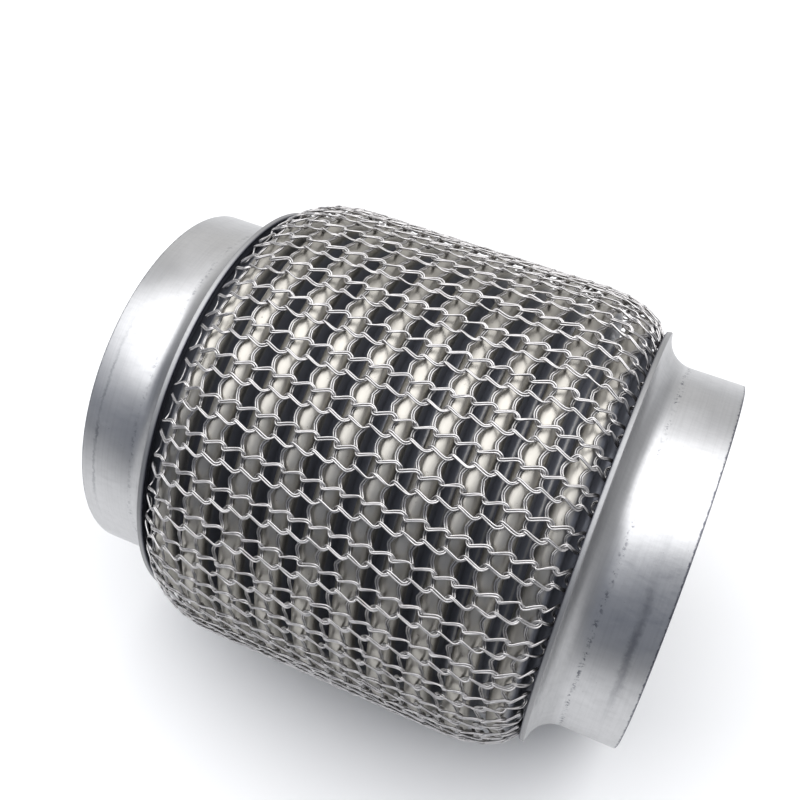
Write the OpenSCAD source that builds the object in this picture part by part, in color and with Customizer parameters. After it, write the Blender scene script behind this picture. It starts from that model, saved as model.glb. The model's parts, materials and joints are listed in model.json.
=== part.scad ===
// Exhaust flex pipe: a corrugated bellows under a knitted wire sleeve, with an interlocked
// liner inside and a flared cap and a weld ring at each end. The pipe runs along X and is
// the same at both ends. Profiles are drawn as [radius, distance from the middle].

/* [Overall] */
// Length from mouth to mouth
overall_length = 101.6; // [95:0.1:180]
// Bore of the weld rings, which is the outside of the pipe that slips in
bore_d = 63.5; // [50:0.1:76.2]

/* [Weld rings] */
// Wall of each weld ring
ring_wall = 0.4; // [0.3:0.05:0.8]
// Length of each weld ring
ring_length = 19; // [17:0.5:24]

/* [End caps] */
// Sheet that the caps are pressed from
cap_sheet = 1; // [0.8:0.1:1.5]
// Straight length of the neck, from the mouth to the flare
neck_length = 9.6; // [8:0.1:14]
// Radius of the bend between neck and flare
flare_radius = 4.2; // [3:0.1:6]
// Slope of the flare against the axis
flare_slope = 62; // [50:1:70]
// Straight length of the flare, from the bend to the rim
flare_lip = 3.1; // [2:0.1:5]
// Bevel on the outer edge of the mouth
mouth_bevel = 0.3; // [0.1:0.05:0.5]

/* [Bellows] */
// Wall of the bellows
bellows_wall = 0.4; // [0.3:0.05:0.6]
// Distance between two crests
bellows_pitch = 6.9; // [5.5:0.1:8]
// Outside diameter over the crests
crest_d = 83.2; // [80:0.1:90]
// Inside diameter at the roots
root_d = 67.8; // [67.6:0.1:70]

/* [Liner] */
// Strip that the liner is wound from
strip_wall = 0.5; // [0.4:0.05:0.6]
// Width of one turn of the strip
strip_pitch = 5; // [4:0.1:7]
// Outside diameter of the liner
liner_d = 67.2; // [66.8:0.1:67.4]

/* [Wire sleeve] */
// Thickness of the knitted wall
sleeve_wall = 1; // [0.7:0.05:1.1]
// Columns of loops around the sleeve
wales = 40; // [36:1:40]
// Length of one row of loops along the sleeve
course_pitch = 3.45; // [3:0.05:4]
// Height of each knitted step along a column
stitch_step = 0.7; // [0.4:0.05:0.9]
// Share of a column that is open between its wires
open_share = 0.52; // [0.4:0.01:0.58]
// Length over which each end of the sleeve turns in
shoulder_length = 12; // [9:0.5:14]
// Length of each end of the sleeve that the cap covers
tail_length = 2.5; // [1.5:0.1:3]
// Turn of the first column of loops about the axis
wale_turn = 4; // [0:0.5:9]

/* [Fits] */
// Gap between pieces that are pressed together
seat_gap = 0.05; // [0.02:0.01:0.1]
// Gap between the sleeve and what it lies against
sleeve_gap = 0.3; // [0.2:0.05:0.4]

/* [Hidden] */
$fn = 96;
half_length = overall_length / 2;
arc_steps = 10;

ring_r = bore_d / 2;
ring_outer_r = ring_r + ring_wall;
cuff_r = ring_outer_r + seat_gap;
neck_r = cuff_r + bellows_wall + seat_gap;
neck_outer_r = neck_r + cap_sheet;

flare_start = half_length - neck_length;
bend_r = neck_outer_r + flare_radius * (1 - cos(flare_slope));
bend_end = flare_start - flare_radius * sin(flare_slope);
rim_r = bend_r + flare_lip * sin(flare_slope);
rim_end = bend_end - flare_lip * cos(flare_slope);

crest_r = crest_d / 2;
root_r = root_d / 2;
fold_r = bellows_pitch / 4;
// The bellows run from rim to rim, so their count follows the length that is left between the rims.
convolutions = floor(2 * rim_end / bellows_pitch);
first_crest = -(convolutions - 1) / 2 * bellows_pitch;
cuff_start = flare_start - flare_radius * 0.4;
root_flat_end = convolutions / 2 * bellows_pitch + fold_r / 2;

liner_r = liner_d / 2;
liner_bore_r = ring_outer_r + seat_gap;
liner_end = root_flat_end - fold_r / 2;
strip_turns = floor(2 * liner_end / strip_pitch);

sleeve_r = crest_r + sleeve_gap + sleeve_wall;
// Each end lies along the inside of the cap's flare, where the shoulder has come to the same slope.
shoulder_turn = 75;
tail_depth = cap_sheet + sleeve_gap;
tail_r = rim_r - tail_depth * cos(flare_slope);
tail_start = rim_end - tail_depth * sin(flare_slope);
shoulder_drop = (sleeve_r - tail_r) / (1 - cos(shoulder_turn));
shoulder_start = tail_start - shoulder_length * sin(shoulder_turn);
shoulder_steps = 6;
rows_of_gaps = 3;
bar_width = 1.1;
// Rows of loops in one gap, which stays inside the part of the shoulder that shows.
gap_reach = tail_start - bar_width;
row_length = 2 * gap_reach / rows_of_gaps;
courses_in_row = floor((row_length - bar_width) / course_pitch);
wale_width = 2 * PI * sleeve_r / wales;
gap_half_width = wale_width * open_share / 2;
gap_floor = sleeve_r - shoulder_drop - sleeve_wall;

// Points on an arc about [r, u], from one angle to another.
function arc(r, u, radius, from, to) =
    [for (i = [0 : arc_steps]) let (a = from + (to - from) * i / arc_steps)
        [r + radius * cos(a), u + radius * sin(a)]];

// A list of points read backwards.
function reversed(points) = [for (i = [len(points) - 1 : -1 : 0]) points[i]];

// A profile reflected to the other end of the pipe.
function other_end(points) = [for (p = reversed(points)) [p[0], -p[1]]];

// Turns a profile about the pipe's axis.
module turned(points) {
    rotate([0, 90, 0])
        rotate_extrude()
            polygon(points);
}

// Puts a piece that is drawn at the outlet, +X, at the inlet as well.
module at_inlet() {
    mirror([1, 0, 0]) children();
}

// One face of the cap's sheet, from the mouth to the rim, at an inward depth in the sheet.
function cap_face(depth) =
    let (radius = flare_radius + depth)
    concat(
        arc(neck_outer_r + flare_radius, flare_start, radius, 180, 180 + flare_slope),
        [[rim_r - depth * cos(flare_slope), rim_end - depth * sin(flare_slope)]]
    );

module cap() {
    outside = concat(
        [[neck_outer_r - mouth_bevel, half_length], [neck_outer_r, half_length - mouth_bevel]],
        cap_face(0)
    );
    inside = concat([[neck_r, half_length]], cap_face(cap_sheet));
    color("gainsboro") turned(concat(outside, reversed(inside)));
}

module ring() {
    color("silver")
        turned([
            [ring_r, half_length - ring_length],
            [ring_outer_r, half_length - ring_length],
            [ring_outer_r, half_length],
            [ring_r, half_length]
        ]);
}

// Inside radius of the sleeve at a distance from the middle.
function sleeve_inside(u) =
    let (turn = min(sin(shoulder_turn), max(0, (u - shoulder_start) / (shoulder_length - sleeve_wall))))
    sleeve_r - sleeve_wall - (shoulder_drop - sleeve_wall) * (1 - sqrt(1 - turn * turn));

// Radius at the middle of a crest's bend; crests under the sleeve's shoulders are lower.
function crest_centre(u) =
    min(crest_r, sleeve_inside(abs(u) + fold_r / 2) - sleeve_gap) - bellows_wall / 2 - fold_r;

// One face of the bellows' wall, at a height above the middle of the sheet.
function bellows_face(height) =
    let (
        root_centre = root_r + bellows_wall / 2 + fold_r,
        cuff = [
            [cuff_r + bellows_wall / 2 + height, half_length],
            [cuff_r + bellows_wall / 2 + height, cuff_start],
            [root_r + bellows_wall / 2 + height, root_flat_end]
        ],
        folds = [for (k = [0 : convolutions - 1]) let (u = first_crest + k * bellows_pitch) each concat(
            arc(root_centre, u - bellows_pitch / 2, fold_r - height, k == 0 ? 180 : 270, 90),
            arc(crest_centre(u), u, fold_r + height, -90, 90)
        )],
        last_root = arc(root_centre, -first_crest + bellows_pitch / 2, fold_r - height, 270, 180)
    )
    concat(other_end(reversed(cuff)), folds, last_root, reversed(cuff));

module bellows() {
    color("darkgray")
        turned(concat(bellows_face(-bellows_wall / 2), reversed(bellows_face(bellows_wall / 2))));
}

// One face of the wound strip: raised bands that alternate with bands at the bore.
function strip_face(low, high, lap) =
    let (start = -strip_turns / 2 * strip_pitch)
    concat(
        [[low, -liner_end]],
        [for (k = [0 : strip_turns - 1]) let (u = start + k * strip_pitch) each [
            [low, u + strip_pitch / 4 - lap], [high, u + strip_pitch / 4 - lap],
            [high, u + strip_pitch * 3 / 4 + lap], [low, u + strip_pitch * 3 / 4 + lap]
        ]],
        [[low, liner_end]]
    );

module interlock_liner() {
    inside = strip_face(liner_bore_r, liner_r - strip_wall, -strip_wall / 2);
    outside = strip_face(liner_bore_r + strip_wall, liner_r, strip_wall / 2);
    color("dimgray") turned(concat(inside, reversed(outside)));
}

// One end of a face of the sleeve's wall, from its straight middle to the end that the cap covers.
function sleeve_face(depth) =
    let (
        run = shoulder_length - depth,
        drop = shoulder_drop - depth,
        shoulder = [for (i = [0 : shoulder_steps]) let (a = shoulder_turn * i / shoulder_steps)
            [sleeve_r - depth - drop * (1 - cos(a)), shoulder_start + run * sin(a)]],
        last = shoulder[shoulder_steps]
    )
    concat(shoulder, [[last[0] - tail_length * sin(flare_slope), last[1] + tail_length * cos(flare_slope)]]);

// An opening between two columns of loops: its long edges step at every row of the knit.
module knit_gap() {
    length = courses_in_row * course_pitch;
    edge = [for (k = [0 : courses_in_row])
        [-length / 2 + k * course_pitch, gap_half_width + (k % 2 - 0.5) * stitch_step]];
    translate([0, 0, gap_floor])
        linear_extrude(height = sleeve_r + sleeve_wall - gap_floor)
            polygon(concat(edge, [for (p = reversed(edge)) [p[0], -p[1]]]));
}

module wire_sleeve() {
    wall = concat(other_end(sleeve_face(0)), sleeve_face(0),
        reversed(sleeve_face(sleeve_wall)), reversed(other_end(sleeve_face(sleeve_wall))));
    color("lightgray")
        difference() {
            turned(wall);
            for (w = [0 : wales - 1], row = [-1 : 1])
                rotate([wale_turn + w * 360 / wales, 0, 0])
                    translate([row * row_length, 0, 0])
                        knit_gap();
        }
}

at_inlet() cap();  // inlet_cap
cap();  // outlet_cap
at_inlet() ring();  // inlet_ring
ring();  // outlet_ring
bellows();
interlock_liner();
wire_sleeve();
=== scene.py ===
"""An exhaust flex pipe: end caps, bellows, knitted wire sleeve, liner and weld rings, with its stage."""

import json
import math
import random

import bmesh
import bpy
from bpy.props import FloatProperty, FloatVectorProperty, IntProperty, PointerProperty
from mathutils import Matrix, Vector


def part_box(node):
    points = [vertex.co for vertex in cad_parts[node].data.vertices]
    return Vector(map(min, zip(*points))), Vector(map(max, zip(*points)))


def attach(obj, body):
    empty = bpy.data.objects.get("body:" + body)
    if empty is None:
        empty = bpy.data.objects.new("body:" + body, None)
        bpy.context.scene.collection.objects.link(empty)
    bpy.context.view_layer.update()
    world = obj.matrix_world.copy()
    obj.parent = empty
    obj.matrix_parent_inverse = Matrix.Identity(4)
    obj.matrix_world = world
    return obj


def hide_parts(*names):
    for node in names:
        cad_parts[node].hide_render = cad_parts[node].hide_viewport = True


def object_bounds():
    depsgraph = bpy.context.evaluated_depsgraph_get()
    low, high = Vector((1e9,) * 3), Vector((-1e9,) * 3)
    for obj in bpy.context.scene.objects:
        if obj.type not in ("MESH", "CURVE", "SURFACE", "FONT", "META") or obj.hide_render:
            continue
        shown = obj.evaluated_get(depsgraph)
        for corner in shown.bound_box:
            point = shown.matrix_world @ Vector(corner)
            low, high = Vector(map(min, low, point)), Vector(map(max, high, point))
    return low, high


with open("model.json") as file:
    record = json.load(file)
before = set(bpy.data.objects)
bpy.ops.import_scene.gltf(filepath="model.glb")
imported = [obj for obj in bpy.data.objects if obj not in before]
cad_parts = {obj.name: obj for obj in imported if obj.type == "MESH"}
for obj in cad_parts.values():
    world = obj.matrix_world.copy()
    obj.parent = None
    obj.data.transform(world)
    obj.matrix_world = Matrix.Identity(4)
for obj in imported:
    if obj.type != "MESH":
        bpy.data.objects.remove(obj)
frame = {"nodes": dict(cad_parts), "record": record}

bl_info = {
    "name": "Exhaust Flex Pipe",
    "version": (1, 0, 0),
    "blender": (4, 5, 0),
    "location": "View3D > Sidebar > Flex Pipe",
    "description": "Builds a flexible exhaust coupling with a knitted wire sleeve over its bellows",
    "category": "Object",
}

CAD_LOW, CAD_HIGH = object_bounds()
CAP_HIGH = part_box("outlet_cap")[1]
BELLOWS_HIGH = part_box("bellows")[1]
SLEEVE_LOW, SLEEVE_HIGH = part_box("wire_sleeve")
SOCKET = next(m for m in frame["record"]["mounts"] if m["name"] == "outlet_socket")
BODY = "root"
AXIS = Vector((1, 0, 0))
UP = Vector((0, 0, 1))
MM = 0.001
CREASE = math.radians(40)  # edges that turn by more than this stay sharp


def length(name, description, default):
    return FloatProperty(name=name, description=description, default=default, min=0, precision=5,
                         subtype="DISTANCE", unit="LENGTH")


def angle(name, description, degrees):
    return FloatProperty(name=name, description=description, default=math.radians(degrees),
                         subtype="ANGLE", unit="ROTATION")


def count(name, description, default, low):
    return IntProperty(name=name, description=description, default=default, min=low)


def colour(name, description, default):
    return FloatVectorProperty(name=name, description=description, default=default, size=3, min=0, max=1,
                               subtype="COLOR")


class FlexPipeCaps(bpy.types.PropertyGroup):
    """The two pressed end caps"""

    bore_radius: length("Bore radius", "Radius of the socket that the pipe slips into",
                        SOCKET["dims"]["r_mm"] * MM)
    layers: length("Layers under the neck", "Weld ring and bellows cuff between the bore and the cap", 0.9 * MM)
    sheet: length("Sheet", "Thickness of the pressed sheet", 1.0 * MM)
    neck: length("Neck", "Straight length from the mouth to the flare", 9.6 * MM)
    bend: length("Bend", "Radius of the bend between neck and flare", 5.0 * MM)
    slope: angle("Slope", "Slope of the flare's rim against the axis", 80)
    tint: colour("Steel", "Colour of the caps' satin steel", (0.525, 0.525, 0.53))
    turns: count("Turns", "Steps round the cap", 192, 24)


class FlexPipeBellows(bpy.types.PropertyGroup):
    """The corrugated tube"""

    pitch: length("Pitch", "Distance between two crests", 6.9 * MM)
    crests: count("Crests", "Number of folds", 10, 2)
    wall: length("Wall", "Thickness of the tube's wall", 0.4 * MM)
    swell: length("Swell", "How much wider each crest is than each root, on either side", 0.3 * MM)
    root_radius: length("Root radius", "Inside radius at the roots", 33.9 * MM)
    end_crest_radius: length("End crest radius", "Outside radius over the first and the last crest", 39.3 * MM)
    tint: colour("Steel", "Colour of the bellows' bright steel", (0.43, 0.412, 0.376))
    # The colour of the folds is painted shade.
    painted_fold_shade: colour("Folds", "Colour of the film down in the folds", (0.152, 0.159, 0.186))
    turns: count("Turns", "Steps round the bellows", 128, 24)


class FlexPipeSleeve(bpy.types.PropertyGroup):
    """The knitted wire sleeve"""

    wire: length("Wire", "Diameter of one wire", 0.33 * MM)
    spread: length("Spread", "Distance between the two wires of a row", 0.34 * MM)
    wales: count("Columns", "Columns of loops round the sleeve", 40, 8)
    courses: count("Rows", "Rows of loops along the sleeve", 21, 4)
    course: length("Row length", "Distance between two rows along the sleeve", 3.42 * MM)
    shoulder: length("Shoulder", "Length over which each end turns in", 12.0 * MM)
    tint: colour("Steel", "Colour of the drawn wire", (0.575, 0.56, 0.555))
    turn: angle("Turn", "Turn of the first column about the axis", 6.7)
    seed: count("Seed", "Start of the small differences between loops", 7, 0)


class FlexPipeInside(bpy.types.PropertyGroup):
    """The weld rings and the liner"""

    ring_tint: colour("Ring steel", "Colour of the weld rings", (0.50, 0.505, 0.52))
    liner_tint: colour("Liner steel", "Colour of the wound strip", (0.36, 0.355, 0.35))


class FlexPipeStage(bpy.types.PropertyGroup):
    """Floor, light and camera"""

    camera_place: FloatVectorProperty(name="Camera", description="Place of the camera", size=3,
                                      subtype="TRANSLATION", unit="LENGTH",
                                      default=(0.04139, -0.10024, 0.17023))
    camera_aim: FloatVectorProperty(name="Aim", description="Direction that the camera looks in", size=3,
                                    subtype="DIRECTION", default=(-0.24074, 0.53700, -0.80850))
    lens: FloatProperty(name="Lens", description="Focal length on a 36 mm sensor", default=47.94,
                        subtype="DISTANCE_CAMERA")
    floor_tint: colour("Floor", "Colour of the floor", (0.86, 0.86, 0.86))


class FlexPipe(bpy.types.PropertyGroup):
    """All the settings of the pipe"""

    caps: PointerProperty(type=FlexPipeCaps)
    bellows: PointerProperty(type=FlexPipeBellows)
    sleeve: PointerProperty(type=FlexPipeSleeve)
    inside: PointerProperty(type=FlexPipeInside)
    stage: PointerProperty(type=FlexPipeStage)


class Nodes:
    """Adds nodes to a tree and links them."""

    def __init__(self, tree, coordinates):
        self.tree = tree
        self.place = self.add("ShaderNodeTexCoord").outputs[coordinates]

    def add(self, kind, **settings):
        node = self.tree.nodes.new(kind)
        for key, value in settings.items():
            setattr(node, key, value)
        return node

    def feed(self, value, socket):
        """Links another node's output to a socket, or sets the socket to a number or a colour."""
        if isinstance(value, bpy.types.NodeSocket):
            self.tree.links.new(value, socket)
        else:
            socket.default_value = (*value, 1) if isinstance(value, tuple) else value

    def math(self, operation, a, b=0.0):
        node = self.add("ShaderNodeMath", operation=operation)
        for value, socket in zip((a, b), node.inputs):
            self.feed(value, socket)
        return node.outputs["Value"]

    def ranged(self, value, low, high, to_low, to_high, smooth=False):
        node = self.add("ShaderNodeMapRange", interpolation_type="SMOOTHSTEP" if smooth else "LINEAR")
        for key, number in (("From Min", low), ("From Max", high), ("To Min", to_low), ("To Max", to_high)):
            node.inputs[key].default_value = number
        self.feed(value, node.inputs["Value"])
        return node.outputs["Result"]

    def band(self, value, centre, half_width):
        """1 at the centre of a band, falling to 0 at its edges."""
        away = self.math("ABSOLUTE", self.math("SUBTRACT", value, centre))
        return self.ranged(away, 0, half_width, 1, 0, smooth=True)

    def mixed(self, factor, a, b):
        node = self.add("ShaderNodeMix", data_type="RGBA")
        for value, key in ((factor, 0), (a, 6), (b, 7)):
            self.feed(value, node.inputs[key])
        return node.outputs[2]

    def toward(self, direction):
        """How far a place lies in a direction."""
        node = self.add("ShaderNodeVectorMath", operation="DOT_PRODUCT")
        node.inputs[1].default_value = direction
        self.feed(self.place, node.inputs[0])
        return node.outputs["Value"]


class Shader(Nodes):
    """The nodes of a new material."""

    def __init__(self, name):
        self.material = bpy.data.materials.new(name)
        self.material.use_nodes = True
        super().__init__(self.material.node_tree, "Object")
        self.surface = self.tree.nodes["Principled BSDF"].inputs

    def axes(self):
        node = self.add("ShaderNodeSeparateXYZ")
        self.feed(self.place, node.inputs[0])
        return node.outputs

    def from_axis(self):
        """Distance from the pipe's axis."""
        flat = self.add("ShaderNodeVectorMath", operation="MULTIPLY")
        flat.inputs[1].default_value = (0, 1, 1)
        self.feed(self.place, flat.inputs[0])
        out = self.add("ShaderNodeVectorMath", operation="LENGTH")
        self.feed(flat.outputs["Vector"], out.inputs[0])
        return out.outputs["Value"]

    def noise(self, scale, detail=4.0, roughness=0.55):
        """Noise of one scale, or of a scale for each axis."""
        node = self.add("ShaderNodeTexNoise")
        node.inputs["Detail"].default_value = detail
        node.inputs["Roughness"].default_value = roughness
        vector = self.place
        if isinstance(scale, tuple):
            stretch = self.add("ShaderNodeMapping")
            stretch.inputs["Scale"].default_value = scale
            self.feed(vector, stretch.inputs["Vector"])
            vector, scale = stretch.outputs["Vector"], 1.0
        node.inputs["Scale"].default_value = scale
        self.feed(vector, node.inputs["Vector"])
        return node.outputs["Fac"]

    def bumped(self, height, strength, distance):
        node = self.add("ShaderNodeBump")
        node.inputs["Strength"].default_value = strength
        node.inputs["Distance"].default_value = distance
        self.feed(height, node.inputs["Height"])
        self.feed(node.outputs["Normal"], self.surface["Normal"])

    def steel(self, tone, roughness, metallic=1.0):
        self.feed(tone, self.surface["Base Color"])
        self.feed(roughness, self.surface["Roughness"])
        self.feed(metallic, self.surface["Metallic"])
        return self.material


def scaled(tint, factor):
    return tuple(min(1.0, channel * factor) for channel in tint)


# The caps' surface. Places along the pipe are distances from the mouth.
# Colour of the real marks and of the painted shade under the flare
DIRT_AND_SHADE_TINT = (0.08, 0.083, 0.105)
BEND_SHADE = (12.2 * MM, 10.2 * MM)  # the sheet darkens between these, toward the flare
RIM_CUT = (0.30 * MM, 0.18 * MM)  # the cut face begins between these, in from the rim
UNDERSIDE = (0.70, 0.95)  # the painted shade on the flare's underside begins between these shares of the sheet
PRESS_MARKS, PRESS_MARKS_WIDTH = 9.9 * MM, 0.65 * MM
RAW_EDGE = (0.42 * MM, 0.15 * MM)
RUBBED, RUBBED_WIDTH = math.radians(38), math.radians(40)  # the rubbed side, from the front upward


def satin_sheet_steel(name, caps, half, track_place, track_width, track_share, mark_share, edge_share):
    """Pressed sheet with fine scratches, a dark track near the mouth, marks at the flare, a raw edge, and
    painted shade toward the flare and on its underside.
    """
    shader = Shader(name)
    tint = tuple(caps.tint)
    lines = shader.noise((3000, 60, 60), 3.0)
    grain = shader.noise((500, 1900, 700), 4.0, 0.65)
    cloud = shader.noise(90.0, 5.0)
    fine = shader.noise(1300.0, 4.0, 0.7)
    x, y, z = shader.axes()
    along = shader.math("ABSOLUTE", x)
    radius = shader.from_axis()

    tone = shader.mixed(shader.ranged(cloud, 0.35, 0.7, 0, 1), scaled(tint, 0.93), scaled(tint, 1.05))
    tone = shader.mixed(shader.ranged(grain, 0.45, 0.75, 0, 0.22), tone, scaled(tint, 0.72))
    tone = shader.mixed(shader.ranged(lines, 0.45, 0.70, 0, 0.16), tone, scaled(tint, 0.6))
    shade = shader.ranged(along, half - BEND_SHADE[0], half - BEND_SHADE[1], 0.22, 0, smooth=True)
    tone = shader.mixed(shade, tone, (0, 0, 0))
    cut = shader.ranged(radius, CAP_HIGH.z - RIM_CUT[0], CAP_HIGH.z - RIM_CUT[1], 0, 1)
    tone = shader.mixed(cut, tone, scaled(tint, 0.64))

    # Painted shade on the flare's underside, over the sleeve, found by the distance from the middle of the
    # bend.
    from_bend = shader.math("SUBTRACT", radius, caps.bore_radius + caps.layers + caps.sheet + caps.bend)
    past_neck = shader.math("SUBTRACT", along, half - caps.neck)
    squares = [shader.math("MULTIPLY", part, part) for part in (from_bend, past_neck)]
    depth = shader.math("SQRT", shader.math("ADD", *squares))
    low, high = (caps.bend + part * caps.sheet for part in UNDERSIDE)
    under = shader.math("MULTIPLY", shader.ranged(depth, low, high, 0, 0.9),
                        shader.ranged(past_neck, 0, 0.5 * MM, 1, 0))

    # The roller's track, strongest on the rubbed side.
    strayed = shader.math("ADD", along, shader.ranged(shader.noise(70.0, 2.0), 0.3, 0.7, -0.35 * MM, 0.35 * MM))
    rough_edge = shader.math("ADD", strayed, shader.ranged(fine, 0.3, 0.7, -0.3 * MM, 0.3 * MM))
    smeared = shader.ranged(shader.noise((150, 90, 90), 4.0, 0.65), 0.34, 0.60, 0.15, track_share, smooth=True)
    front = shader.math("ARCTAN2", z, shader.math("MULTIPLY", y, -1.0))
    rubbed = shader.math("ADD", shader.band(front, RUBBED, RUBBED_WIDTH), 0.06)
    track = shader.math("MULTIPLY", shader.band(rough_edge, half - track_place, track_width),
                        shader.math("MULTIPLY", smeared, rubbed))

    # Press marks at the flare, pits all over and the raw edge at the mouth.
    clustered = shader.ranged(shader.noise(150.0, 2.0), 0.38, 0.55, 0.2, mark_share, smooth=True)
    pressed = shader.ranged(shader.noise(1700.0, 3.0, 0.6), 0.50, 0.60, 0, 1, smooth=True)
    marks = shader.math("MULTIPLY", shader.band(strayed, half - PRESS_MARKS, PRESS_MARKS_WIDTH),
                        shader.math("MULTIPLY", pressed, clustered))
    pits = shader.ranged(shader.noise(2600.0, 2.0), 0.73, 0.78, 0, 0.4, smooth=True)
    jagged = shader.math("ADD", along, shader.ranged(fine, 0.3, 0.7, -0.16 * MM, 0.16 * MM))
    dirt_and_shade = shader.ranged(jagged, half - RAW_EDGE[0], half - RAW_EDGE[1], 0, edge_share, smooth=True)
    # The real marks and the painted shade under the flare share one dark colour.
    for kind in (track, marks, pits, under):
        dirt_and_shade = shader.math("MAXIMUM", dirt_and_shade, kind)
    tone = shader.mixed(dirt_and_shade, tone, DIRT_AND_SHADE_TINT)

    gloss = shader.math("ADD", shader.ranged(cloud, 0.3, 0.7, 0.33, 0.42),
                        shader.ranged(grain, 0.3, 0.7, -0.03, 0.05))
    gloss = shader.math("ADD", gloss, shader.math("MULTIPLY", cut, 0.15))
    dents = shader.math("MULTIPLY", shader.noise(55.0, 2.0), 4.0)
    shader.bumped(shader.math("ADD", dents, shader.math("ADD", lines, grain)), 0.04, 0.2 * MM)
    return shader.steel(tone, gloss)


# Where the bellows keep their bright steel and where painted shade covers them: radii, and places along the
# pipe.
UNSHADED_CREST = (38.3 * MM, 39.6 * MM)
ROOT_LINE = (34.305 * MM, 34.335 * MM)
GLOSS_RADII = (35.0 * MM, 41.0 * MM)
SHADE_PAST_END_CREST = (4.3 * MM, 5.2 * MM)
UNSHADED_CUFF = (44 * MM, 45 * MM)


def bright_bellows_steel(name, tint, painted_fold_shade, end_crest, end_drop):
    """Thin formed sheet, bright on the crests, with painted shade down in the folds and under the caps, and a
    thin bright line at each root where that shade is halved.
    """
    shader = Shader(name)
    cloud = shader.noise(220.0, 4.0)
    crest = shader.mixed(shader.ranged(cloud, 0.35, 0.7, 0, 1), scaled(tint, 0.88), scaled(tint, 1.06))
    specks = shader.ranged(shader.noise(1100.0, 3.0, 0.7), 0.66, 0.74, 0, 0.6, smooth=True)
    crest = shader.mixed(specks, crest, scaled(tint, 0.28))
    along = shader.math("ABSOLUTE", shader.axes()["X"])
    radius = shader.from_axis()
    drop = shader.ranged(along, end_crest - 0.5 * MM, end_crest + 0.5 * MM, 0, end_drop)
    height = shader.math("ADD", radius, drop)
    # Painted shade covers everything below the crests, at half strength on a thin line at each root, and the
    # ends under the caps, but not the cuffs.
    unshaded = shader.math("MAXIMUM", shader.ranged(height, *UNSHADED_CREST, 0, 1, smooth=True),
                        shader.ranged(radius, *ROOT_LINE, 0.5, 0, smooth=True))
    low, high = (end_crest + past for past in SHADE_PAST_END_CREST)
    open_to_light = shader.math("MAXIMUM", shader.ranged(along, low, high, 1, 0),
                                shader.ranged(along, *UNSHADED_CUFF, 0, 1))
    unshaded = shader.math("MULTIPLY", unshaded, open_to_light)
    shader.bumped(shader.noise((2500, 60, 60), 3.0), 0.02, 0.1 * MM)
    gloss = shader.math("ADD", shader.ranged(cloud, 0.3, 0.7, 0.35, 0.42),
                        shader.ranged(height, *GLOSS_RADII, 0, 0.04))
    return shader.steel(shader.mixed(unshaded, painted_fold_shade, crest), gloss, shader.ranged(unshaded, 0, 1, 0.30, 1))


def drawn_wire_steel(name, tint):
    """Drawn wire, bright where it stands out, with painted shade on the arcs that lie lower."""
    shader = Shader(name)
    cloud = shader.noise(700.0, 3.0)
    tone = shader.mixed(shader.ranged(cloud, 0.3, 0.7, 0, 1), scaled(tint, 0.80), scaled(tint, 1.08))
    # Painted shade on the arcs that lie lower, a share stored on each point.
    painted_shade = shader.add("ShaderNodeAttribute", attribute_name="painted_shade").outputs["Fac"]
    tone = shader.mixed(painted_shade, tone, scaled(tint, 0.25))
    return shader.steel(tone, shader.ranged(cloud, 0.3, 0.7, 0.30, 0.40))


def dull_strip_steel(name, tint):
    """Wound strip or rolled ring, dull, with lines round it."""
    shader = Shader(name)
    cloud = shader.noise(160.0, 4.0)
    tone = shader.mixed(shader.ranged(cloud, 0.35, 0.7, 0, 1), scaled(tint, 0.80), scaled(tint, 1.10))
    shader.bumped(shader.noise((6000, 200, 200), 3.0), 0.12, 0.2 * MM)
    return shader.steel(tone, shader.ranged(cloud, 0.3, 0.7, 0.30, 0.46))


def arc(radius, along, bend, start, end, steps):
    """Points (radius, distance along the axis) on a bend."""
    turns = [start + (end - start) * i / steps for i in range(steps + 1)]
    return [(radius + bend * math.cos(turn), along + bend * math.sin(turn)) for turn in turns]


def meshed(name, mesh):
    """Turns a finished bmesh into mesh data."""
    data = bpy.data.meshes.new(name)
    mesh.to_mesh(data)
    mesh.free()
    return data


def linked(name, data):
    """Puts a new object into the scene."""
    item = bpy.data.objects.new(name, data)
    bpy.context.collection.objects.link(item)
    return item


def spun(name, profile, turns):
    """Turns a closed profile of (radius, along) points round the pipe's axis."""
    mesh = bmesh.new()
    ring = [mesh.verts.new((along, 0, radius)) for radius, along in profile]
    edges = [mesh.edges.new((ring[i - 1], ring[i])) for i in range(len(ring))]
    bmesh.ops.spin(mesh, geom=ring + edges, cent=(0, 0, 0), axis=AXIS, angle=2 * math.pi, steps=turns,
                   use_merge=True, use_duplicate=False)
    bmesh.ops.remove_doubles(mesh, verts=mesh.verts[:], dist=1e-7)
    bmesh.ops.recalc_face_normals(mesh, faces=mesh.faces[:])
    for face in mesh.faces:
        face.smooth = True
    for edge in mesh.edges:
        edge.smooth = edge.calc_face_angle(0) < CREASE
    return linked(name, meshed(name, mesh))


def fitted(piece, material, slot, *nodes):
    """Gives a new piece its material and its body, and hides the solids that it stands for."""
    piece.data.materials.clear()
    piece.data.materials.append(material)
    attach(piece, BODY)
    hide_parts(*nodes)
    return piece


BEND_STEPS, LIP_STEPS = 20, 4
LIP_ROUND = 0.22 * MM  # radius of the rim's two worn corners
MOUTH_ROUND = 0.3 * MM
MOUTH_MIDDLE = 0.3  # where the rounded mouth's middle point lies, as a share of the round


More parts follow.
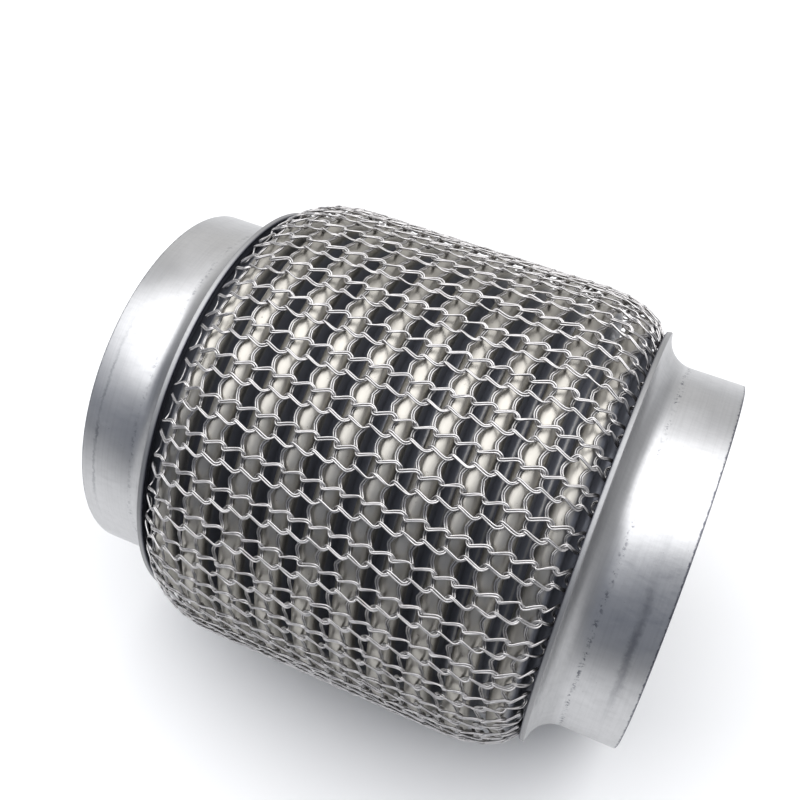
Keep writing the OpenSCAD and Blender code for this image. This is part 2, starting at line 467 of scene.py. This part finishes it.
def cap_profile(caps, half):
    """Section of the outlet cap: neck, bend, flare and a cut rim that faces outward."""
    outer = caps.bore_radius + caps.layers + caps.sheet
    start = half - caps.neck
    rim = CAP_HIGH.z
    bend_radius = outer + caps.bend * (1 - math.cos(caps.slope))
    bend_end = start - caps.bend * math.sin(caps.slope)
    rim_end = bend_end - (rim - bend_radius) / math.tan(caps.slope)
    centre = outer + caps.bend
    outside, inside = (arc(centre, start, bend, math.pi, math.pi + caps.slope, BEND_STEPS)
                       for bend in (caps.bend, caps.bend + caps.sheet))
    inner = (rim - caps.sheet * math.cos(caps.slope), rim_end - caps.sheet * math.sin(caps.slope))
    lip = []
    for (radius, along), first in (((rim, rim_end), caps.slope), (inner, caps.slope - math.pi / 2)):
        inward = first - math.pi / 4
        reach = LIP_ROUND * math.sqrt(2)
        lip += arc(radius - reach * math.cos(inward), along - reach * math.sin(inward), LIP_ROUND,
                   first, first - math.pi / 2, LIP_STEPS)
    middle = MOUTH_ROUND * MOUTH_MIDDLE
    mouth = [(outer - caps.sheet, half), (outer - MOUTH_ROUND, half), (outer - middle, half - middle),
             (outer, half - MOUTH_ROUND)]
    return mouth + outside + lip + inside[::-1]


class FLEXPIPE_OT_end_caps(bpy.types.Operator):
    """Spins the two flared end caps"""

    bl_idname = "flexpipe.end_caps"
    bl_label = "End caps"

    def execute(self, context):
        caps = context.scene.flex_pipe.caps
        half = CAD_HIGH.x
        profile = cap_profile(caps, half)
        steel = satin_sheet_steel("outlet_cap_steel", caps, half, track_place=4.0 * MM, track_width=1.1 * MM,
                                  track_share=0.5, mark_share=0.8, edge_share=0.9)
        fitted(spun("outlet_cap_sheet", profile, caps.turns), steel, "cap_steel", "outlet_cap")
        steel = satin_sheet_steel("inlet_cap_steel", caps, half, track_place=2.6 * MM, track_width=0.4 * MM,
                                  track_share=0.7, mark_share=0.4, edge_share=0.5)
        mirrored = [(radius, -along) for radius, along in profile]
        fitted(spun("inlet_cap_sheet", mirrored, caps.turns), steel, "cap_steel", "inlet_cap")
        return {"FINISHED"}


CUFF = 11.3 * MM  # straight length of each end under the cap's neck
UNDER_CUFF = 0.45 * MM  # weld ring and clearance between the bore and the cuff
OUTSIDE_STEPS, INSIDE_STEPS = 12, 5


def bellows_face(bellows, cuff_radius, height, steps):
    """One face of the folded wall, from end to end, at a height above the middle of the sheet."""
    crest_fold = bellows.pitch / 4 + bellows.swell
    fold = bellows.pitch / 4 - bellows.swell
    half = BELLOWS_HIGH.x
    root = bellows.root_radius + bellows.wall / 2
    last = bellows.crests / 2 * bellows.pitch
    points = []
    for k in range(bellows.crests):
        along = (k - (bellows.crests - 1) / 2) * bellows.pitch
        top = bellows.end_crest_radius if k in (0, bellows.crests - 1) else BELLOWS_HIGH.z
        first = math.pi if k == 0 else 1.5 * math.pi
        points += arc(root + fold, along - bellows.pitch / 2, fold - height, first, math.pi / 2, steps)
        points += arc(top - bellows.wall / 2 - crest_fold, along, crest_fold + height,
                      -math.pi / 2, math.pi / 2, steps)
    points += arc(root + fold, last, fold - height, 1.5 * math.pi, math.pi, steps)
    end = [(root + height, last + fold / 2), (cuff_radius + height, half - CUFF), (cuff_radius + height, half)]
    return [(radius, -along) for radius, along in end[::-1]] + points + end


class FLEXPIPE_OT_bellows(bpy.types.Operator):
    """Spins the corrugated tube"""

    bl_idname = "flexpipe.bellows"
    bl_label = "Bellows"

    def execute(self, context):
        settings = context.scene.flex_pipe
        bellows = settings.bellows
        cuff_radius = settings.caps.bore_radius + UNDER_CUFF + bellows.wall / 2
        outside = bellows_face(bellows, cuff_radius, bellows.wall / 2, OUTSIDE_STEPS)
        inside = bellows_face(bellows, cuff_radius, -bellows.wall / 2, INSIDE_STEPS)
        end_crest = (bellows.crests / 2 - 1) * bellows.pitch
        steel = bright_bellows_steel("bright_bellows_steel", tuple(bellows.tint), tuple(bellows.painted_fold_shade),
                                     end_crest, BELLOWS_HIGH.z - bellows.end_crest_radius)
        fitted(spun("bellows_tube", outside + inside[::-1], bellows.turns), steel, "bellows_steel", "bellows")
        return {"FINISHED"}


# Half a loop of the knit, from the middle of its narrow end to the middle of its wide end, in mm:
# along the pipe, round it from the line where the loops hook, and height. The narrow end curls up
# into the leg, and the leg's other end turns down under the row before it.
HALF_LOOP = (
    (0.42, -1.33, -0.50),
    (0.46, -0.95, -0.48),
    (0.58, -0.66, -0.40),
    (0.75, -0.40, -0.18),
    (0.77, -0.12, 0.08),
    (0.55, 0.18, 0.28),
    (0.15, 0.43, 0.36),
    (-0.23, 0.51, 0.36),
    (-0.65, 0.41, 0.32),
    (-1.30, 0.17, 0.28),
    (-1.90, -0.09, 0.28),
    (-2.40, -0.31, 0.28),
    (-2.73, -0.42, 0.26),
    (-3.01, -0.37, 0.16),
    (-3.24, -0.12, -0.06),
    (-3.43, 0.22, -0.28),
    (-3.66, 0.62, -0.42),
    (-3.93, 1.05, -0.49),
    (-4.11, 1.50, -0.50),
)
WIDE_MIDDLE = (-4.18, 2.00, -0.50)
NARROW_HALF = -HALF_LOOP[0][1]
LOOP_WIDTH = 2 * (NARROW_HALF + WIDE_MIDDLE[1])
HOOK_BENDS = (3, 12)  # points that get one more point after them
LEG_MIDDLE = -1.2
FIRST_ROW_END = -3.6  # the first row's wide ends stop here, short of the flare

# How the loops differ, in mm along and round the pipe, and as turns and shares of each pair of wires.
LOOP_SLIP, LOOP_LEAN, POINT_SLIP = 0.07, 0.07, 0.02
PAIR_ROLL, PAIR_TWIST, PAIR_OPENING = 0.4, 0.4, (-0.30, 0.15)
RAISED_HEIGHT = 0.2  # a pair lies flat at height 0 and rolls freely from here
# Painted shade on the wires that lie lower: from this height down, over this depth, and its shares on the
# narrow and the wide ends.
SHADE_HEIGHT, SHADE_DEPTH = 0.1, 0.5
NARROW_SHADE, WIDE_SHADE = 0.66, 0.34

# The sleeve's ends: how far the shoulder turns, and how its tail lies under the cap's rim.
SHOULDER_TURN, TAIL_LAY = math.radians(75), math.radians(62)
SHOULDER_STEPS = 24
TAIL, TAIL_INSET, TAIL_UNDER_RIM = 2.0 * MM, 0.8 * MM, 1.8 * MM
OUTER_HEIGHT = 0.40 * MM  # room above the sleeve's middle for the middle of its highest wire
CLEARANCE = 0.02 * MM

ROW_SHIFT = 0.83 * MM
DRIFT, DRIFT_DIP = 1.7 * MM, 1.2 * MM
DIP_PLACE, DIP_SPREAD = math.radians(82), math.radians(22)

WIRE_SIDES = 5
SLEEVE_PIECES = 6


def loop_points():
    """A whole loop from one wide middle to just before the next, with the way across the wire at each point."""
    half = [(x, s + NARROW_HALF, h) for x, s, h in HALF_LOOP + (WIDE_MIDDLE,)]
    fine = []
    for i, point in enumerate(half[:-1]):
        fine.append(point)
        if i in HOOK_BENDS:
            before, after, far = half[i - 1], half[i + 1], half[i + 2]
            fine.append(tuple((9 * (b + c) - a - d) / 16 for a, b, c, d in zip(before, point, after, far)))
    places = [(x, -s, h) for x, s, h in [half[-1]] + fine[:0:-1]] + fine
    loop = []
    for i, (x, s, h) in enumerate(places):
        before, after = places[i - 1], places[(i + 1) % len(places)]
        run = after[0] - before[0]
        rise = math.remainder(after[1] - before[1], LOOP_WIDTH)
        size = math.hypot(run, rise)
        loop.append((x, s, h, -rise / size, run / size))
    return loop


def sleeve_path(sleeve, middle_radius):
    """The sleeve's section from the middle to one end, as a table of (length, along the pipe, radius)."""
    tail_radius = CAP_HIGH.z - TAIL_UNDER_RIM * math.cos(TAIL_LAY)
    drop = (middle_radius - tail_radius) / (1 - math.cos(SHOULDER_TURN))
    end = SLEEVE_HIGH.x - TAIL_INSET - TAIL * math.cos(TAIL_LAY)
    start = end - sleeve.shoulder * math.sin(SHOULDER_TURN)
    points = [(0.0, middle_radius), (start, middle_radius)]
    for i in range(1, SHOULDER_STEPS + 1):
        turn = SHOULDER_TURN * i / SHOULDER_STEPS
        points.append((start + sleeve.shoulder * math.sin(turn), middle_radius - drop * (1 - math.cos(turn))))
    along, radius = points[-1]
    points.append((along + 2 * TAIL * math.cos(TAIL_LAY), radius - 2 * TAIL * math.sin(TAIL_LAY)))
    table, run = [(0.0, *points[0])], 0.0
    for before, point in zip(points, points[1:]):
        run += math.dist(before, point)
        table.append((run, *point))
    return table


def on_path(table, run):
    """Place and outward normal at a length along the sleeve's section, which is the same on both sides."""
    side, distance = (1, run) if run >= 0 else (-1, -run)
    i = 1
    while i < len(table) - 1 and table[i][0] < distance:
        i += 1
    (r0, a0, q0), (r1, a1, q1) = table[i - 1], table[i]
    t = (distance - r0) / (r1 - r0)
    da, dq = (a1 - a0) / (r1 - r0), (q1 - q0) / (r1 - r0)
    return side * (a0 + t * (a1 - a0)), q0 + t * (q1 - q0), -side * dq, da


def row_drift(bearing):
    """How far a row strays along the pipe: the soft sleeve is drawn a little askew over its front."""
    away = math.remainder(bearing - DIP_PLACE, 2 * math.pi) / DIP_SPREAD
    return DRIFT - DRIFT_DIP * math.exp(-away * away)


def share(value):
    return min(1.0, max(0.0, value))


def knit_row(sleeve, table, loop, row, rng):
    """The two closed wires of one row of loops, a pair that rolls and opens differently on each leg."""
    width = 2 * math.pi / sleeve.wales
    unit = width / (LOOP_WIDTH * MM)
    start = (row - (sleeve.courses - 1) / 2) * sleeve.course + ROW_SHIFT
    wires = ([], [])
    for wale in range(sleeve.wales):
        slip = rng.gauss(0, LOOP_SLIP) * MM
        lean = rng.gauss(0, LOOP_LEAN) * MM
        legs = [(rng.gauss(0, PAIR_ROLL), rng.gauss(0, PAIR_TWIST), rng.uniform(*PAIR_OPENING))
                for leg in range(2)]
        for x, s, h, across_along, across_round in loop:
            x = max(x, FIRST_ROW_END) if row == 0 else x
            raised = share(h / RAISED_HEIGHT)
            # Painted shade on the wires that lie lower, stronger on the narrow ends.
            painted_shade = share((SHADE_HEIGHT - h) / SHADE_DEPTH) * (NARROW_SHADE if x > 0 else WIDE_SHADE)
            roll, twist, opening = legs[s > 0]
            roll += twist * (x - LEG_MIDDLE)
            half = sleeve.spread / 2 * (1 + raised * opening)
            flat, up = half * math.cos(raised * roll), half * math.sin(raised * roll)
            bearing = sleeve.turn + wale * width + (s * MM + lean) * unit
            run = start + row_drift(bearing) + x * MM + slip + rng.gauss(0, POINT_SLIP) * MM
            for wire, side in zip(wires, (1, -1)):
                along, radius, up_along, up_out = on_path(table, run + side * across_along * flat)
                turn = bearing + side * across_round * flat * unit
                lift = h * MM + side * up
                along, radius = along + up_along * lift, radius + up_out * lift
                wire.append((along, -radius * math.sin(turn), radius * math.cos(turn), painted_shade))
    return wires


def wire_section(wire):
    """The wire's section, which is swept along each strand."""
    outline = bpy.data.curves.new("wire_section", "CURVE")
    ring = outline.splines.new("POLY")
    ring.points.add(WIRE_SIDES - 1)
    for i, point in enumerate(ring.points):
        turn = 2 * math.pi * i / WIRE_SIDES
        point.co = (wire / 2 * math.cos(turn), wire / 2 * math.sin(turn), 0, 1)
    ring.use_cyclic_u = True
    return linked("wire_section", outline)


def swept(context, name, wires, section):
    """One mesh of several closed wires, with each point's share of painted shade."""
    strand = bpy.data.curves.new("strand", "CURVE")
    strand.dimensions = "3D"
    strand.bevel_mode = "OBJECT"
    strand.bevel_object = section
    for wire in wires:
        spline = strand.splines.new("POLY")
        spline.points.add(len(wire) - 1)
        spline.points.foreach_set("co", [value for point in wire for value in (*point[:3], 1)])
        spline.use_cyclic_u = True
        spline.use_smooth = True
    holder = linked("strand", strand)
    context.view_layer.update()
    mesh = bpy.data.meshes.new_from_object(holder.evaluated_get(context.evaluated_depsgraph_get()))
    bpy.data.objects.remove(holder)
    bpy.data.curves.remove(strand)
    mesh.name = name
    shade_shares = [point[3] for wire in wires for point in wire for side in range(WIRE_SIDES)]
    mesh.attributes.new("painted_shade", "FLOAT", "POINT").data.foreach_set("value", shade_shares)
    return linked(name, mesh)


class FLEXPIPE_OT_wire_sleeve(bpy.types.Operator):
    """Knits the wire sleeve, row by row, each row from two wires"""

    bl_idname = "flexpipe.wire_sleeve"
    bl_label = "Wire sleeve"

    def execute(self, context):
        sleeve = context.scene.flex_pipe.sleeve
        rng = random.Random(sleeve.seed)
        table = sleeve_path(sleeve, SLEEVE_HIGH.z - OUTER_HEIGHT - sleeve.wire / 2 - CLEARANCE)
        loop = loop_points()
        steel = drawn_wire_steel("drawn_wire_steel", tuple(sleeve.tint))
        section = wire_section(sleeve.wire)
        for i in range(SLEEVE_PIECES):
            rows = range(sleeve.courses * i // SLEEVE_PIECES, sleeve.courses * (i + 1) // SLEEVE_PIECES)
            wires = [wire for row in rows for wire in knit_row(sleeve, table, loop, row, rng)]
            piece = swept(context, f"sleeve_rows_{i + 1}", wires, section)
            fitted(piece, steel, "wire_steel", "wire_sleeve")
        bpy.data.curves.remove(section.data)
        return {"FINISHED"}


class FLEXPIPE_OT_inside(bpy.types.Operator):
    """Finishes the weld rings and the wound liner"""

    bl_idname = "flexpipe.inside"
    bl_label = "Rings and liner"

    def execute(self, context):
        inside = context.scene.flex_pipe.inside
        ring = dull_strip_steel("rolled_ring_steel", tuple(inside.ring_tint))
        strip = dull_strip_steel("wound_strip_steel", tuple(inside.liner_tint))
        for node, steel in (("inlet_ring", ring), ("outlet_ring", ring), ("interlock_liner", strip)):
            mesh = frame["nodes"][node].data
            mesh.materials.clear()
            mesh.materials.append(steel)
        return {"FINISHED"}


FLOOR_HALF = 1.6
FLOOR_GAP = 0.2 * MM
FLOOR_ROUGHNESS = 0.6
NEAR_FADE = (-0.30, -0.10)  # the floor darkens between these, toward the front
NEAR_SHADE = 0.36
SOFT_BOX_PLACE = Vector((-0.085, -0.006, 0.62))
SOFT_BOX_SIZE = (1.5, 0.76)
SOFT_BOX_POWER = 9.8
# The room, from its dark side to its bright side, with a step between them.
ROOM_DARK = (0.17, 0.195, 0.265, 1)
ROOM_STEP, ROOM_MIDDLE = 0.60, (0.20, 0.22, 0.27, 1)
ROOM_BRIGHT = (1.0, 0.99, 0.975, 1)
# How the room brightens ahead and to the right: where that starts, and from which share to which.
ROOM_AHEAD, ROOM_RIGHT = (-1.0, 0.0, 1.0), (0.1, 0.6, 0.82)
SENSOR = 36
CLIP_START = 5 * MM


class FLEXPIPE_OT_stage(bpy.types.Operator):
    """Sets the floor, the light, the room and the camera"""

    bl_idname = "flexpipe.stage"
    bl_label = "Stage"

    def execute(self, context):
        scene = context.scene
        stage = scene.flex_pipe.stage
        aim = Vector(stage.camera_aim).normalized()
        ahead = Vector((aim.x, aim.y, 0)).normalized()
        right = ahead.cross(UP)
        self.floor(tuple(stage.floor_tint))
        self.soft_box(ahead, right)
        scene.world = self.room(ahead, right)
        scene.camera = self.camera(stage, aim)
        scene.view_settings.view_transform = "Standard"
        return {"FINISHED"}

    def floor(self, tint):
        """A white floor that darkens in front of the pipe."""
        mesh = bmesh.new()
        bmesh.ops.create_grid(mesh, x_segments=2, y_segments=2, size=FLOOR_HALF)
        bmesh.ops.translate(mesh, verts=mesh.verts[:], vec=(0, 0, SLEEVE_LOW.z - FLOOR_GAP))
        floor = linked("floor", meshed("floor", mesh))
        shader = Shader("white_floor")
        near = shader.ranged(shader.toward((0, 1, 0)), *NEAR_FADE, 0, 1, smooth=True)
        shader.feed(shader.mixed(near, scaled(tint, NEAR_SHADE), tint), shader.surface["Base Color"])
        shader.feed(FLOOR_ROUGHNESS, shader.surface["Roughness"])
        floor.data.materials.append(shader.material)

    def soft_box(self, ahead, right):
        """A rectangular light overhead, whose long side lies across the camera's view."""
        light = bpy.data.lights.new("overhead", "AREA")
        light.shape = "RECTANGLE"
        light.size, light.size_y = SOFT_BOX_SIZE
        light.energy = SOFT_BOX_POWER
        turn = Matrix((right, ahead, UP)).transposed()
        linked("overhead", light).matrix_world = Matrix.Translation(SOFT_BOX_PLACE) @ turn.to_4x4()

    def room(self, ahead, right):
        """Surroundings that are brighter ahead of the camera and to its right."""
        world = bpy.data.worlds.new("studio")
        world.use_nodes = True
        nodes = Nodes(world.node_tree, "Generated")
        sides = [nodes.ranged(nodes.toward(direction), start, 1, low, high)
                 for direction, (start, low, high) in ((ahead, ROOM_AHEAD), (right, ROOM_RIGHT))]
        ramp = nodes.add("ShaderNodeValToRGB")
        nodes.feed(nodes.math("MAXIMUM", *sides), ramp.inputs["Fac"])
        ramp.color_ramp.elements[0].color = ROOM_DARK
        ramp.color_ramp.elements[1].color = ROOM_BRIGHT
        ramp.color_ramp.elements.new(ROOM_STEP).color = ROOM_MIDDLE
        background = world.node_tree.nodes["Background"].inputs
        nodes.feed(ramp.outputs["Color"], background["Color"])
        nodes.feed(1.0, background["Strength"])
        return world

    def camera(self, stage, aim):
        """The photograph's camera."""
        view = bpy.data.cameras.new("camera")
        view.sensor_width = SENSOR
        view.lens = stage.lens
        view.clip_start = CLIP_START
        camera = linked("camera", view)
        turn = aim.to_track_quat("-Z", "Y").to_matrix()
        camera.matrix_world = Matrix.Translation(stage.camera_place) @ turn.to_4x4()
        return camera


class FLEXPIPE_PT_panel(bpy.types.Panel):
    """Lists the pieces of the flex pipe"""

    bl_idname = "FLEXPIPE_PT_panel"
    bl_label = "Flex Pipe"
    bl_space_type = "VIEW_3D"
    bl_region_type = "UI"
    bl_category = "Flex Pipe"

    def draw(self, context):
        settings = context.scene.flex_pipe
        for group, operator in (("caps", "flexpipe.end_caps"), ("bellows", "flexpipe.bellows"),
                                ("sleeve", "flexpipe.wire_sleeve"), ("inside", "flexpipe.inside"),
                                ("stage", "flexpipe.stage")):
            box = self.layout.box()
            box.operator(operator)
            values = getattr(settings, group)
            for key in values.bl_rna.properties.keys():
                if key not in ("rna_type", "name"):
                    box.prop(values, key)


CLASSES = (FlexPipeCaps, FlexPipeBellows, FlexPipeSleeve, FlexPipeInside, FlexPipeStage, FlexPipe,
           FLEXPIPE_OT_end_caps, FLEXPIPE_OT_bellows, FLEXPIPE_OT_wire_sleeve, FLEXPIPE_OT_inside,
           FLEXPIPE_OT_stage, FLEXPIPE_PT_panel)


def register():
    for cls in CLASSES:
        bpy.utils.register_class(cls)
    bpy.types.Scene.flex_pipe = PointerProperty(type=FlexPipe)


def unregister():
    del bpy.types.Scene.flex_pipe
    for cls in reversed(CLASSES):
        bpy.utils.unregister_class(cls)


def main():
    register()
    bpy.ops.flexpipe.end_caps()
    bpy.ops.flexpipe.bellows()
    bpy.ops.flexpipe.wire_sleeve()
    bpy.ops.flexpipe.inside()
    bpy.ops.flexpipe.stage()


if __name__ == "__main__":
    main()
